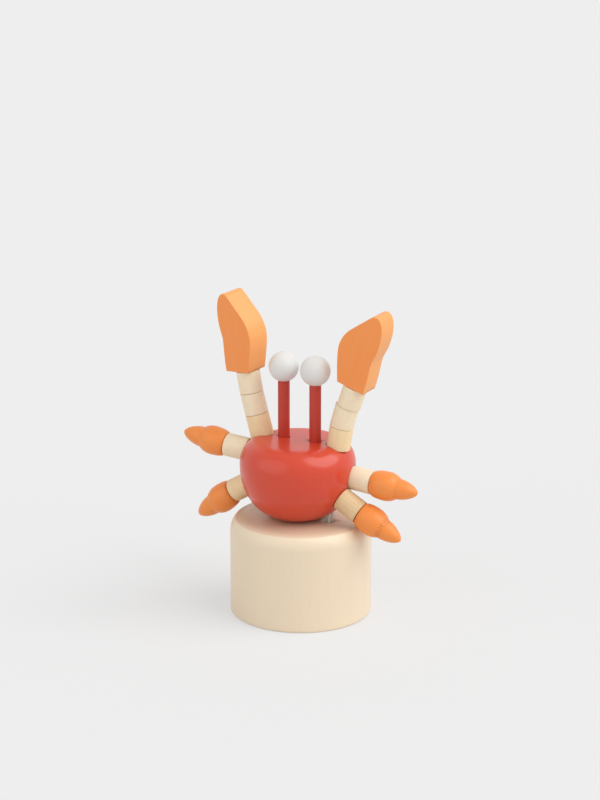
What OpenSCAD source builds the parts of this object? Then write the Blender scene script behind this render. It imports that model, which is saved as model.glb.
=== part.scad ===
// Push puppet crab: turned and sawn wooden pieces strung on tension cords over a
// round hollow base. A sprung button under the base keeps the cords taut, and
// pressing it lets every limb go slack. Millimetres, +Z up, origin at the centre
// of the base's foot, the crab's face towards -Y and its viewer's right at +X.

/* [Base] */
// Outer diameter of the base
base_d = 48; // [44:0.5:56]
// Height of the base
base_h = 33; // [30:0.5:40]
// How far the upper rim is rounded inwards
rim_in = 2.4; // [1.6:0.2:3.6]
// How far the upper rim is rounded downwards
rim_down = 3.4; // [2:0.2:5]
// Rounding of the base's foot
foot_r = 0.8; // [0.4:0.1:1.4]
// Wall round the hollow of the base
base_wall = 6; // [4.5:0.25:7]
// Thickness of the base's top over the hollow
top_t = 6; // [4.5:0.25:7.5]
// Diameter of the two cord holes in the base's top
cord_hole_d = 4; // [3.6:0.1:5]
// Distance of the cord holes from the base's axis
cord_hole_x = 10.4; // [10:0.1:11]
// Distance of the cord holes behind the base's axis
cord_hole_y = 0.4; // [0:0.1:2]
// Depth of the recess that locates the spring under the top
spring_seat_depth = 1.5; // [0.8:0.1:2]

/* [Button] */
// Thickness of the push button
button_t = 5; // [4.5:0.25:6.5]
// Distance from the foot up to the resting button
button_recess = 5.5; // [4.5:0.25:6.5]
// Gap between the button's edge and the hollow of the base
button_gap = 0.3; // [0.2:0.05:0.5]
// Height of the spigot that holds the spring
spigot_h = 2.5; // [1.5:0.25:3.5]
// Diameter of the cord holes in the button
button_hole_d = 3.6; // [3.4:0.1:4.2]
// Depth of the knot pockets under the button
pocket_h = 3; // [2.6:0.1:3.5]
// Diameter of the knot pockets
pocket_d = 6; // [5.6:0.1:7]
// Diameter of the cords' knots
knot_d = 4.8; // [4.2:0.1:5.4]

/* [Spring] */
// Mean diameter of the spring
spring_d = 10; // [8.5:0.25:11]
// Wire of the spring
wire_d = 0.9; // [0.7:0.05:1]
// Number of turns of the spring
spring_turns = 7; // [5:1:8]

/* [Body] */
// Largest diameter of the turned body
body_d = 39.2; // [37.6:0.2:43]
// Height of the body
body_h = 27; // [26:0.25:30]
// Height of the body's widest ring above its foot
belly_z = 18.6; // [17.4:0.2:20]
// Diameter of the flat that the body stands on
body_foot_d = 7; // [5:0.5:9]
// Diameter of the flat on top of the body
body_top_d = 25; // [23:0.5:28]
// Fullness of the bowl, where 2 is an ellipse
bowl_fullness = 2.15; // [2:0.05:2.4]
// Distance that the body stands off the base's axis, towards -X
body_shift = 1.2; // [0:0.1:2]
// Depth of the flats on which the leg beads sit
leg_flat_depth = 0.8; // [0.6:0.1:1.2]
// Depth of the flats on which the arm beads sit
arm_flat_depth = 1.1; // [0.8:0.1:1.6]
// Diameter of the two bores that take each side's cords through the body
well_d = 4; // [3.8:0.1:4.4]

/* [Eyes] */
// Diameter of the wooden eye balls
eye_d = 10.2; // [9:0.1:11.5]
// Diameter of the eye stalks
stalk_d = 4; // [3.4:0.1:5]
// Length of each stalk between the body and the eye
stalk_l = 19.6; // [15:0.2:24]
// Distance between the two stalks
stalk_gap = 12; // [11.8:0.1:13]
// Distance of the stalks behind the body's axis
stalk_y = 1.2; // [0:0.1:2]
// How deep the stalks are glued into the body and the eyes
stalk_glue = 5; // [3:0.5:6]

/* [Beads] */
// Diameter of the limb beads
bead_d = 8; // [7.2:0.1:8.6]
// Length of each bead in the arms
bead_l = 7.2; // [6.4:0.1:8]
// How much longer the left arm's first bead is than the others
first_bead_extra = 0.8; // [0:0.1:1.2]
// Length of each bead in the legs
leg_bead_l = 8; // [7:0.1:8.6]
// Small bevel round the ends of each bead
bead_bevel = 0.2; // [0.1:0.05:0.4]
// Gap between neighbouring pieces of a limb
limb_gap = 0.2; // [0.15:0.05:0.3]
// Bore of the beads
bead_bore_d = 2.2; // [2:0.1:3]
// Diameter of each cord
cord_d = 1; // [0.8:0.05:1.1]
// Distance of each of the three cords from the middle of their bundle
strand_r = 1.1; // [1:0.05:1.15]

/* [Arms] */
// Distance of each arm's socket from the body's axis
arm_x = 14.5; // [14:0.1:15.2]
// Distance of the arms' sockets behind the body's axis
arm_y = 1.6; // [0.8:0.1:2]
// How far the left arm leans from upright, in degrees
left_arm_lean = 13.8; // [9:0.2:16]
// How far the right arm leans from upright, in degrees
right_arm_lean = 8.8; // [7:0.2:14]

/* [Claws] */
// Thickness of the sawn claws
claw_t = 8.5; // [7.5:0.1:10]
// Width of the claw at its straight end
claw_root_w = 10.1; // [9:0.1:11]
// Width from the claw's knuckle to its outer edge
claw_w = 13.5; // [12.5:0.1:15]
// Height of the claws
claw_h = 27.4; // [25:0.2:32]
// How far the claws are cut leaning away from their knuckle, in degrees
claw_slant = 3.4; // [0:0.2:5]
// How far the left claw sits outwards of the middle of its arm
left_claw_shift = 1.2; // [0:0.1:1.4]
// How far the right claw sits outwards of the middle of its arm
right_claw_shift = 0.05; // [0:0.05:1.4]

/* [Legs] */
// Bulb diameter of the turned leg tips
tip_d = 9.9; // [9:0.1:10.6]
// Waist diameter of the leg tips
tip_waist_d = 7; // [6:0.1:8]
// Diameter of the leg tips' flat inner end
tip_root_d = 7.4; // [6.8:0.1:7.8]
// Length of the leg tips
tip_l = 16.4; // [15.4:0.2:19]
// Depth of the blind bores in the claws and the leg tips
anchor_depth = 10; // [8:0.25:11]
// Diameter of those blind bores
anchor_bore_d = 2.4; // [2.4:0.05:2.8]
// Length of the pegs that wedge the cords
peg_l = 6; // [4:0.25:7]

/* [Hidden] */
$fn = 64;
// Fine clearance of glued and seated pieces
fit_gap = 0.05;
// Overshoot of cutting tools past the face they leave
over = 1;
// How far each limb's flat reaches past its bead
flat_margin = 0.3;
// Left and right as seen by a viewer in front of the crab
LEFT = -1;
RIGHT = 1;

// Places along the base's height
base_r = base_d / 2;
hollow_r = base_r - base_wall;
ceiling_z = base_h - top_t;
spring_seat_z = ceiling_z + spring_seat_depth;
button_top_z = button_recess + button_t;
knot_h = knot_d / 2;
knot_flat_r = strand_r + cord_d / 2 + fit_gap;
knot_top_z = button_recess + pocket_h - fit_gap;

// Round bends drawn in this many steps per quarter turn
quarter_steps = 14;
body_foot_z = base_h;
body_r = body_d / 2;
foot_flat_r = body_foot_d / 2;
top_flat_r = body_top_d / 2;
rise = body_h - belly_z;
bend_pow = 2 / bowl_fullness;

// Limb joints: how far each piece leans on the one before it, the side of their
// shared rim on which it leans, both in degrees round the limb's own axis, and how
// far it has slipped to that side, as a share of a bead's diameter
left_arm_joints = [[0, 0, 0], [0, 0, 0], [4, 200, 0], [3.9, 128, 0]];
right_arm_joints = [[0, 0, 0], [6.5, -15, 0], [3.4, -20, 0.07], [3.9, -96, -0.05]];
// Direction in which each arm leans, in degrees from +X, and the turn of its claw
left_arm_heading = 195;
right_arm_heading = 13;
left_claw_turn = -29;
right_claw_turn = -13;

// Legs: height of the flat as a share of the body's, its angle behind the side
// axis, the leg's yaw behind the side axis, its rise above level, and its tip's joint
left_upper_leg = [LEFT, 0.77, -2, -4, 6, [3, 180, 0]];
left_lower_leg = [LEFT, 0.363, -2, -3, -31, [7, 20, 0]];
right_upper_leg = [RIGHT, 0.574, 12, 0, -5, [1, 180, 0]];
right_lower_leg = [RIGHT, 0.352, -4, 2, -30, [3, 180, 0]];

// Rigid frames as matrices
function shift(v) = [[1, 0, 0, v.x], [0, 1, 0, v.y], [0, 0, 1, v.z], [0, 0, 0, 1]];
function turn_y(a) = [[cos(a), 0, sin(a), 0], [0, 1, 0, 0], [-sin(a), 0, cos(a), 0], [0, 0, 0, 1]];
function turn_z(a) = [[cos(a), -sin(a), 0, 0], [sin(a), cos(a), 0, 0], [0, 0, 1, 0], [0, 0, 0, 1]];
function on(m, p) = let (q = m * [p.x, p.y, p.z, 1]) [q.x, q.y, q.z];
function aim(p, tilt, heading) = shift(p) * turn_z(heading) * turn_y(tilt);
function lean(joint) = turn_z(joint[1]) * shift([bead_d / 2, 0, 0]) * turn_y(joint[0])
    * shift([(joint[2] - 1 / 2) * bead_d, 0, 0]) * turn_z(-joint[1]);
function sum(v, i = 0) = i < len(v) ? v[i] + sum(v, i + 1) : 0;
function unit(v) = v / norm(v);

// Outline of the turned body: a superelliptic bowl under a shallower shoulder
function bowl_point(t) = [
    foot_flat_r + (body_r - foot_flat_r) * pow(sin(t), bend_pow),
    belly_z * (1 - pow(cos(t), bend_pow))
];
function shoulder_point(t) = [
    top_flat_r + (body_r - top_flat_r) * pow(cos(t), bend_pow),
    belly_z + rise * pow(sin(t), bend_pow)
];
function bowl_r(z) = let (c = pow(1 - z / belly_z, bowl_fullness / 2))
    foot_flat_r + (body_r - foot_flat_r) * pow(sqrt(1 - c * c), bend_pow);
function shoulder_r(z) = let (s = pow((z - belly_z) / rise, bowl_fullness / 2))
    top_flat_r + (body_r - top_flat_r) * pow(sqrt(1 - s * s), bend_pow);
function body_radius(z) = z < belly_z ? bowl_r(z) : shoulder_r(z);
function shoulder_z(r) = let (c = pow((r - top_flat_r) / (body_r - top_flat_r), bowl_fullness / 2))
    belly_z + rise * pow(sqrt(1 - c * c), bend_pow);
quarter = [for (i = [0:quarter_steps]) 90 * i / quarter_steps];
body_outline = concat(
    [[0, 0]], [for (t = quarter) bowl_point(t)], [for (t = quarter) shoulder_point(t)], [[0, body_h]]
);

// Where things stand on the body
function body_place(x, y, z) = [x - body_shift, y, body_foot_z + z];
arm_flat_z = shoulder_z(norm([arm_x, arm_y])) - arm_flat_depth;
function arm_start(side, tilt, heading) = aim(body_place(side * arm_x, arm_y, arm_flat_z), tilt, heading);
function leg_z(leg) = leg[1] * body_h;
function leg_start(leg) = let (r = body_radius(leg_z(leg)) - leg_flat_depth)
    aim(body_place(leg[0] * r * cos(leg[2]), r * sin(leg[2]), leg_z(leg)),
        90 - leg[4], leg[0] == RIGHT ? leg[3] : 180 - leg[3]);
// Each side's cords run through the body in a straight line from the hole in the
// base to the arm's flat
function hole_place(side, z) = [side * cord_hole_x, cord_hole_y, z];
function well_axis(side, z) = let (u = z / arm_flat_z)
    hole_place(side, base_h) * (1 - u) + body_place(side * arm_x, arm_y, arm_flat_z) * u;

// A limb is its starting frame on the body's flat, its joints and the lengths of its
// beads; each piece's frame has its origin at the piece's inner end and +Z along it
left_arm = [arm_start(LEFT, left_arm_lean, left_arm_heading), left_arm_joints,
    [bead_l + first_bead_extra, bead_l, bead_l]];
right_arm = [arm_start(RIGHT, right_arm_lean, right_arm_heading), right_arm_joints, [bead_l, bead_l, bead_l]];
function leg_limb(leg) = [leg_start(leg), [[0, 0, 0], leg[5]], [leg_bead_l]];
function seat(limb, k) = k == 0 ? limb[0] : piece(limb, k - 1) * shift([0, 0, limb[2][k - 1]]);
function piece(limb, k) = seat(limb, k) * shift([0, 0, limb_gap]) * lean(limb[1][k]);

// Cords: every cord runs from its knot up through the button, the base and the
// body's bore, and out along its limb to a peg in the last piece. Each side's three
// cords keep their places in their bundle: one inwards, one in front, one behind
INNER = [-1, 0, 0];
FRONT = [0.5, -sqrt(3) / 2, 0];
REAR = [0.5, sqrt(3) / 2, 0];
function bundle(side, place) = strand_r * [side * place.x, place.y, 0];
function cord_start(side, place) =
    [for (z = [knot_top_z, base_h]) hole_place(side, z) + bundle(side, place)];
anchor_x = anchor_bore_d / 4;
anchor_bend_z = 0.3 * anchor_depth;
cord_lead = 0.5;
function cord_end(limb, last) = [
    on(piece(limb, last), [0, 0, cord_lead]),
    on(piece(limb, last), [anchor_x, 0, anchor_bend_z]),
    on(piece(limb, last), [anchor_x, 0, anchor_depth - cord_lead])
];
function arm_cord_route(side, limb, place) = concat(
    cord_start(side, place),
    [well_axis(side, arm_flat_z - anchor_bend_z) + bundle(side, place)],
    [for (k = [0:2]) on(piece(limb, k), [0, 0, 0])],
    cord_end(limb, 3)
);
// Where a leg's bore, drilled in from its flat, meets the middle of the side's bore
function leg_seat(leg) = on(leg_start(leg), [0, 0, 0]);
function leg_corner(leg) = let (s = leg_start(leg), w = well_axis(leg[0], leg_z(leg)), p = leg_seat(leg))
    well_axis(leg[0], p.z - body_foot_z - s[2][2] * abs((p.x - w.x) / s[0][2]));
function leg_cord_route(leg, place) = let (
    limb = leg_limb(leg),
    c = leg_corner(leg),
    outwards = unit(leg_seat(leg) - c)
) concat(
    cord_start(leg[0], place),
    [c + bundle(leg[0], place), c + (well_d / 2 + cord_d / 2) * outwards, on(piece(limb, 0), [0, 0, 0])],
    cord_end(limb, 1)
);

// Sweeps a round tube of the given radius along points; each ring stands square
// to the mean of its two neighbouring runs, and its first spoke stays near one
// fixed direction, so the tube doesn't twist
function run(p, i) = unit(p[min(i + 1, len(p) - 1)] - p[max(i - 1, 0)]);
function spoke(t, ref) = unit(ref - (ref * t) * t);
function ring(p, i, r, n, ref) = let (t = run(p, i), a = spoke(t, ref), b = cross(t, a))
    [for (k = [0:n - 1]) p[i] + r * (cos(360 * k / n) * a + sin(360 * k / n) * b)];
module tube(p, r, n, ref) {
    m = len(p);
    points = [for (i = [0:m - 1]) each ring(p, i, r, n, ref)];
    faces = concat(
        [[for (k = [n - 1:-1:0]) k]],
        [for (i = [0:m - 2]) for (k = [0:n - 1]) each [
            [i * n + k, i * n + (k + 1) % n, (i + 1) * n + (k + 1) % n],
            [i * n + k, (i + 1) * n + (k + 1) % n, (i + 1) * n + k]]],
        [[for (k = [0:n - 1]) (m - 1) * n + k]]
    );
    polyhedron(points = points, faces = [for (f = faces) [for (j = [len(f) - 1:-1:0]) f[j]]]);
}

// Base: turned drum, hollow from below, with two cord holes through its top
module base() color("BlanchedAlmond") difference() {
    rotate_extrude($fn = 96) polygon(concat(
        [for (t = quarter) [base_r - foot_r + foot_r * sin(t), foot_r - foot_r * cos(t)]],
        [for (t = quarter) [base_r - rim_in + rim_in * cos(t), base_h - rim_down + rim_down * sin(t)]],
        [[0, base_h], [0, spring_seat_z], [spring_seat_r, spring_seat_z], [spring_seat_r, ceiling_z],
         [hollow_r, ceiling_z], [hollow_r, foot_r], [hollow_r + foot_r, 0]]
    ));
    for (side = [LEFT, RIGHT])
        translate(hole_place(side, ceiling_z - over)) cylinder(d = cord_hole_d, h = top_t + 2 * over);
}
spring_room = 0.5;
spring_seat_r = (spring_d + wire_d) / 2 + spring_room;

// Push button: disc with a spigot for the spring and a stepped hole for each
// side's cords, whose knots lie in the pockets underneath
module push_button() color("BurlyWood") difference() {
    rotate_extrude($fn = 96) polygon([
        [0, button_recess], [button_r - foot_r, button_recess], [button_r, button_recess + foot_r],
        [button_r, button_top_z], [spigot_r, button_top_z], [spigot_r, spigot_top_z - foot_r],
        [spigot_r - foot_r, spigot_top_z], [0, spigot_top_z]
    ]);
    for (side = [LEFT, RIGHT]) {
        translate(hole_place(side, button_recess)) cylinder(d = button_hole_d, h = button_t + over);
        translate(hole_place(side, button_recess - over)) cylinder(d = pocket_d, h = pocket_h + over);
    }
}
button_r = hollow_r - button_gap;
spigot_gap = 0.3;
spigot_r = (spring_d - wire_d) / 2 - spigot_gap;
spigot_top_z = button_top_z + spigot_h;

// Compression spring: a closed turn at each end and open turns between
spring_low = button_top_z + wire_d / 2 + fit_gap;
spring_high = spring_seat_z - wire_d / 2 - fit_gap;
closed_gap = 0.45;
closed_pitch = wire_d + closed_gap;
open_pitch = (spring_high - spring_low - 2 * closed_pitch) / (spring_turns - 2);
function coil_z(turn) = spring_low
    + closed_pitch * (min(turn, 1) + max(turn - spring_turns + 1, 0))
    + open_pitch * (max(min(turn, spring_turns - 1), 1) - 1);
coil_steps = 16;
coil = [for (i = [0:spring_turns * coil_steps]) let (a = 360 * i / coil_steps)
    [spring_d / 2 * cos(a), spring_d / 2 * sin(a), coil_z(i / coil_steps)]];
echo(least_spring_gap = min(closed_pitch, open_pitch) - wire_d);
module spring() color("Silver") tube(coil, wire_d / 2, 6, [0, 0, 1]);

// Crab body: turned bowl with a flat for each limb, stalk holes, a bore for each
// side's cords from the underside to the arm's flat, and a bore in from each leg
module flat_cut(frame) multmatrix(frame) cylinder(d = bead_d + 2 * flat_margin, h = bead_d);
module drill(from, to, d) {
    way = to - from;
    translate(from) rotate([0, acos(way.z / norm(way)), atan2(way.y, way.x)]) cylinder(d = d, h = norm(way));
}
module leg_cut(leg) {
    flat_cut(leg_start(leg));
    seat = leg_seat(leg);
    drill(leg_corner(leg), seat + over * unit(seat - leg_corner(leg)), bead_bore_d);
}
module well_cut(side) drill(well_axis(side, -over), well_axis(side, arm_flat_z + over), well_d);
module crab_body() color("Tomato") difference() {
    translate(body_place(0, 0, 0)) rotate_extrude($fn = 96) polygon(body_outline);
    flat_cut(left_arm[0]);
    flat_cut(right_arm[0]);
    for (leg = [left_upper_leg, left_lower_leg, right_upper_leg, right_lower_leg]) leg_cut(leg);
    for (side = [LEFT, RIGHT]) {
        well_cut(side);
        translate(body_place(side * stalk_gap / 2, stalk_y, body_h - stalk_glue))
            cylinder(d = stalk_d + 2 * fit_gap, h = stalk_glue + over);
    }
}

// Eye stalks: dowels glued into the body and the eyes
module eye_stalk(side) color("FireBrick")
    translate(body_place(side * stalk_gap / 2, stalk_y, body_h - stalk_glue + fit_gap))
        cylinder(d = stalk_d, h = stalk_l + 2 * stalk_glue - 2 * fit_gap);
module eye(side) color("WhiteSmoke")
    translate(body_place(side * stalk_gap / 2, stalk_y, body_h + stalk_l)) difference() {
        translate([0, 0, eye_drop]) sphere(d = eye_d);
        translate([0, 0, -over]) cylinder(d = stalk_d + 2 * fit_gap, h = stalk_glue + over);
    }
// Height of the eye's centre above the mouth of its hole
eye_drop = sqrt(pow(eye_d / 2, 2) - pow(stalk_d / 2, 2));

// Bead: short turned cylinder with bevelled ends and a bore on its axis
module bead(limb, k) color("Wheat") multmatrix(piece(limb, k)) difference() {
    r = bead_d / 2;
    l = limb[2][k];
    rotate_extrude() polygon([
        [0, 0], [r - bead_bevel, 0], [r, bead_bevel], [r, l - bead_bevel], [r - bead_bevel, l], [0, l]
    ]);
    translate([0, 0, -over]) cylinder(d = bead_bore_d, h = l + 2 * over);
}
module anchor_cut() translate([0, 0, -over]) cylinder(d = anchor_bore_d, h = anchor_depth + over);

// Claw: sawn board whose inner edge swells to a knuckle and whose outer edge is
// drawn in above its root; one outline serves both claws. Each stretch of it is a
// curve through points given as shares of the claw's width and height
function claw_point(p) = [p.x * claw_w + p.y * claw_h * tan(claw_slant), p.y * claw_h];
curve_steps = 8;
function curve(a, b, c, d) = [for (i = [0:curve_steps - 1]) let (u = i / curve_steps, v = 1 - u)
    claw_point(v * v * v * a + 3 * v * v * u * b + 3 * v * u * u * c + u * u * u * d)];
claw_outer = 0.31;
claw_waist = 0.273;
root_outer = 0.358;
root_inner = claw_root_w / claw_w - root_outer;
knuckle = 1 - claw_outer;
shoulder = [0.155 - knuckle, 0.706];
tip_inner = [-0.162, 0.952];
tip_outer = [0.162, 0.926];
bulge = [claw_outer, 0.607];
waist = [claw_waist, 0.4];
claw_outline = concat(
    curve([-root_inner, 0], [-root_inner - 0.118, 0.14], [-knuckle, 0.37], [-knuckle, 0.46]),
    curve([-knuckle, 0.46], [-knuckle, 0.57], [-knuckle + 0.066, 0.645], shoulder),
    [claw_point(shoulder)],
    curve(tip_inner, [-0.096, 1], [0.044, 1.015], tip_outer),
    curve(tip_outer, [0.243, 0.864], [claw_outer, 0.754], bulge),
    curve(bulge, [claw_outer, 0.515], [claw_waist - 0.011, 0.46], waist),
    curve(waist, [claw_waist + 0.011, 0.33], [root_outer, 0.15], [root_outer, 0]),
    [claw_point([root_outer, 0])]
);
module claw(limb, turned, outwards) color("SandyBrown") multmatrix(piece(limb, 3)) difference() {
    rotate([0, 0, turned]) translate([outwards, claw_t / 2, 0]) rotate([90, 0, 0])
        linear_extrude(claw_t) polygon(claw_outline);
    anchor_cut();
}

// Leg tip: turned bulb, waist and blunt point
tip_r = tip_d / 2;
tip_root_r = tip_root_d / 2;
tip_waist_r = tip_waist_d / 2;
bulb_z = 0.3 * tip_l;
waist_z = 0.56 * tip_l;
bulb_steps = 10;
tip_outline = concat(
    [[0, 0]],
    [for (t = quarter) [tip_root_r + (tip_r - tip_root_r) * sin(t), bulb_z * (1 - cos(t))]],
    [for (i = [1:bulb_steps]) let (u = i / bulb_steps)
        [tip_r - (tip_r - tip_waist_r) * pow(u, 2.2), bulb_z + (waist_z - bulb_z) * u]],
    [for (i = [1:quarter_steps]) let (u = sin(quarter[i]))
        [tip_waist_r * pow(1 - pow(u, 1.7), 0.6), waist_z + (tip_l - waist_z) * u]]
);
module leg_tip(leg) color("SandyBrown") multmatrix(piece(leg_limb(leg), 1)) difference() {
    rotate_extrude() polygon(tip_outline);
    anchor_cut();
}

// Peg: tapered pin driven into the blind bore beside the cord's end
peg_r = anchor_bore_d / 4 - fit_gap;
peg_foot_z = anchor_bend_z + cord_lead;
peg_taper = 1;
module peg(limb, last) color("Tan") multmatrix(piece(limb, last)) translate([-anchor_x, 0, peg_foot_z])
    rotate_extrude($fn = 24)
        polygon([[0, 0], [peg_r, 0], [peg_r, peg_l - peg_taper], [peg_r / 2, peg_l], [0, peg_l]]);

// Cords and the knots that hold them under the button
module cord(route) color("Gainsboro") tube(route, cord_d / 2, 8, [0, 1, 0]);
module cord_knot(side) color("Gainsboro") translate(hole_place(side, knot_top_z - knot_h))
    rotate_extrude($fn = 32) polygon(concat(
        [[0, 0]],
        [for (t = quarter) [knot_flat_r + (knot_d / 2 - knot_flat_r) * sin(t), knot_h / 2 * (1 - cos(t))]],
        [for (t = quarter) [knot_flat_r + (knot_d / 2 - knot_flat_r) * cos(t), knot_h / 2 * (1 + sin(t))]],
        [[0, knot_h]]
    ));

base();
push_button();
spring();
crab_body();
eye_stalk(LEFT);  // left_eye_stalk
eye(LEFT);  // left_eye
eye_stalk(RIGHT);  // right_eye_stalk
eye(RIGHT);  // right_eye
bead(left_arm, 0);  // left_arm_bead_1
bead(left_arm, 1);  // left_arm_bead_2
bead(left_arm, 2);  // left_arm_bead_3
claw(left_arm, left_claw_turn, left_claw_shift);  // left_claw
bead(right_arm, 0);  // right_arm_bead_1
bead(right_arm, 1);  // right_arm_bead_2
bead(right_arm, 2);  // right_arm_bead_3
claw(right_arm, right_claw_turn, right_claw_shift);  // right_claw
bead(leg_limb(left_upper_leg), 0);  // left_upper_leg_bead
leg_tip(left_upper_leg);  // left_upper_leg_tip
bead(leg_limb(left_lower_leg), 0);  // left_lower_leg_bead
leg_tip(left_lower_leg);  // left_lower_leg_tip
bead(leg_limb(right_upper_leg), 0);  // right_upper_leg_bead
leg_tip(right_upper_leg);  // right_upper_leg_tip
bead(leg_limb(right_lower_leg), 0);  // right_lower_leg_bead
leg_tip(right_lower_leg);  // right_lower_leg_tip
peg(left_arm, 3);  // left_claw_peg
peg(leg_limb(left_upper_leg), 1);  // left_upper_leg_peg
peg(leg_limb(left_lower_leg), 1);  // left_lower_leg_peg
peg(right_arm, 3);  // right_claw_peg
peg(leg_limb(right_upper_leg), 1);  // right_upper_leg_peg
peg(leg_limb(right_lower_leg), 1);  // right_lower_leg_peg
cord(arm_cord_route(LEFT, left_arm, REAR));  // left_arm_cord
cord(leg_cord_route(left_upper_leg, INNER));  // left_upper_leg_cord
cord(leg_cord_route(left_lower_leg, FRONT));  // left_lower_leg_cord
cord(arm_cord_route(RIGHT, right_arm, INNER));  // right_arm_cord
cord(leg_cord_route(right_upper_leg, REAR));  // right_upper_leg_cord
cord(leg_cord_route(right_lower_leg, FRONT));  // right_lower_leg_cord
cord_knot(LEFT);  // left_cord_knot
cord_knot(RIGHT);  // right_cord_knot
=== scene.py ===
"""Push puppet crab: turned and sawn wooden pieces strung on cords over a hollow round base.

Every length below is in millimetres and every angle in degrees until a mesh is made, and the
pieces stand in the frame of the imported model: +Z up, the crab's face towards -Y.
"""

import math

import bmesh
import bpy
import numpy as np
from mathutils import Matrix, Vector


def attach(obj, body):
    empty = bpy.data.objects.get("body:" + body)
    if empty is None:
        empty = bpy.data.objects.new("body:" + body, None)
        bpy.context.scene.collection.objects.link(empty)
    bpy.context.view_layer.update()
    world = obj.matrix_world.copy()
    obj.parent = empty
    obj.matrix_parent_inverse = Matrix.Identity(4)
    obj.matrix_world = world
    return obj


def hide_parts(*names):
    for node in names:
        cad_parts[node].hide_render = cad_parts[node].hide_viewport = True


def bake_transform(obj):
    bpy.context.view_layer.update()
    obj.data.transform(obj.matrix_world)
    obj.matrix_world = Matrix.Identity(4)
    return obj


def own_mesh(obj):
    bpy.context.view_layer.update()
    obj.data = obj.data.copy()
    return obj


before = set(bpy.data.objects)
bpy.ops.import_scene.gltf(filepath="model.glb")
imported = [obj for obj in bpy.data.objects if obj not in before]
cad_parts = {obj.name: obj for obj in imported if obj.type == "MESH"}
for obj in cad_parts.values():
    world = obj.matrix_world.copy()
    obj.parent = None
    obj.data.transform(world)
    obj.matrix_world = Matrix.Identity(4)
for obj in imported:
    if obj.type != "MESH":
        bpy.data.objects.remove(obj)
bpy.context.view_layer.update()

MM = 0.001
UP = Vector((0, 0, 1))
LEFT, RIGHT = -1, 1
# How far a cutting tool passes the face that it cuts
THROUGH = 1.0

# Base. Its rim is a round that stops short of level, so that it meets the top in an arris
BASE_R = 24.0
BASE_H = 33.0
RIM_ROUND = 6.5
RIM_TURN = 45.0
FOOT_R = 0.8
HOLLOW_R = 18.0
HOLLOW_COVE = 0.6
CEILING_Z = 27.0
SPRING_SEAT_Z = 28.5
SPRING_SEAT_R = 5.95
CORD_HOLE_R = 2.0
CORD_HOLE_X = 10.4
CORD_HOLE_Y = 0.4

# Push button
BUTTON_Z = 5.5
BUTTON_TOP_Z = 10.5
BUTTON_R = 17.7
BUTTON_EDGE = 0.3
SPIGOT_R = 4.25
SPIGOT_TOP_Z = 13.0
BUTTON_HOLE_R = 1.8
POCKET_R = 3.0
POCKET_DEPTH = 3.0
KNOT_TOP_Z = 8.45
# Rings of vertices on the button's flats, clear of its pockets, which keep their shading even
BUTTON_RINGS = [CORD_HOLE_X - POCKET_R - 0.9, CORD_HOLE_X + POCKET_R + 1.2, BUTTON_R - FOOT_R - 0.3]

# Spring, with a small gap to its seat at each end, and a closed turn there
SPRING_R = 5.0
WIRE_R = 0.45
SPRING_TURNS = 7
SPRING_GAP = 0.05
CLOSED_GAP = 0.45
CLOSED_PITCH = 2 * WIRE_R + CLOSED_GAP

# Body
BODY_R = 19.6
BODY_H = 27.0
BELLY_Z = 18.6
FOOT_FLAT_R = 3.5
TOP_FLAT_R = 12.5
FULLNESS = 2.15
BODY_SHIFT = 1.2
LEG_FLAT_DEPTH = 0.8
ARM_FLAT_DEPTH = 1.1
SEAT_MARGIN = 0.2
SEAT_CUTTER_L = 8
WELL_R = 2.0

# Eyes and their stalks
EYE_R = 5.1
STALK_R = 2.0
STALK_L = 19.6
STALK_GAP = 12.0
STALK_Y = 1.2
STALK_GLUE = 5.0
STALK_CLEAR = 0.05
STALK_ROUND = 0.3
# The countersink at the mouth of an eye's hole: its width and depth
EYE_HOLE_EASE = (0.15, 0.25)
EYE_GRAIN_TILT = 40

# Beads. Their ends reach a little nearer to their neighbours than the model's
BEAD_R = 4.0
BEAD_L = 7.2
FIRST_BEAD_L = 8.0
LEG_BEAD_L = 8.0
BEAD_BORE_R = 1.1
BEAD_BORE_EASE = 0.25
BEAD_ROUND = 0.2
BEAD_REACH = 0.04
LIMB_GAP = 0.2
ARM_X = 14.5
ARM_Y = 1.6

# Claws
CLAW_T = 8.5
CLAW_W = 13.5
CLAW_H = 27.4
CLAW_ROOT_W = 10.1
CLAW_SLANT = 3.4
CLAW_ROUND = 0.22
CLAW_ROOT_OUT = 4.85
CLAW_ROOT_IN = CLAW_ROOT_W - CLAW_ROOT_OUT
CLAW_OUTER = 4.2
CLAW_WAIST = 3.7
KNUCKLE = CLAW_W - CLAW_OUTER
# The sawn outline: up the inner edge to its knuckle and shoulder, straight on to the tip, and
# down the outer edge over its bulge and its waist. A curve has four points, each a width from
# the claw's middle line and a share of the claw's height
SHOULDER, TIP_INNER, TIP_OUTER = (-KNUCKLE + 2.1, 0.706), (-2.2, 0.952), (2.2, 0.926)
BULGE, WAIST = (CLAW_OUTER, 0.607), (CLAW_WAIST, 0.4)
INNER_CURVES = (
    ((-CLAW_ROOT_IN, 0), (-CLAW_ROOT_IN - 1.6, 0.14), (-KNUCKLE, 0.37), (-KNUCKLE, 0.46)),
    ((-KNUCKLE, 0.46), (-KNUCKLE, 0.57), (-KNUCKLE + 0.9, 0.645), SHOULDER),
)
OUTER_CURVES = (
    (TIP_INNER, (-1.3, 1), (0.6, 1.015), TIP_OUTER),
    (TIP_OUTER, (3.3, 0.864), (CLAW_OUTER, 0.754), BULGE),
    (BULGE, (CLAW_OUTER, 0.515), (CLAW_WAIST - 0.15, 0.46), WAIST),
    (WAIST, (CLAW_WAIST + 0.15, 0.33), (CLAW_ROOT_OUT, 0.15), (CLAW_ROOT_OUT, 0)),
)

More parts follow.
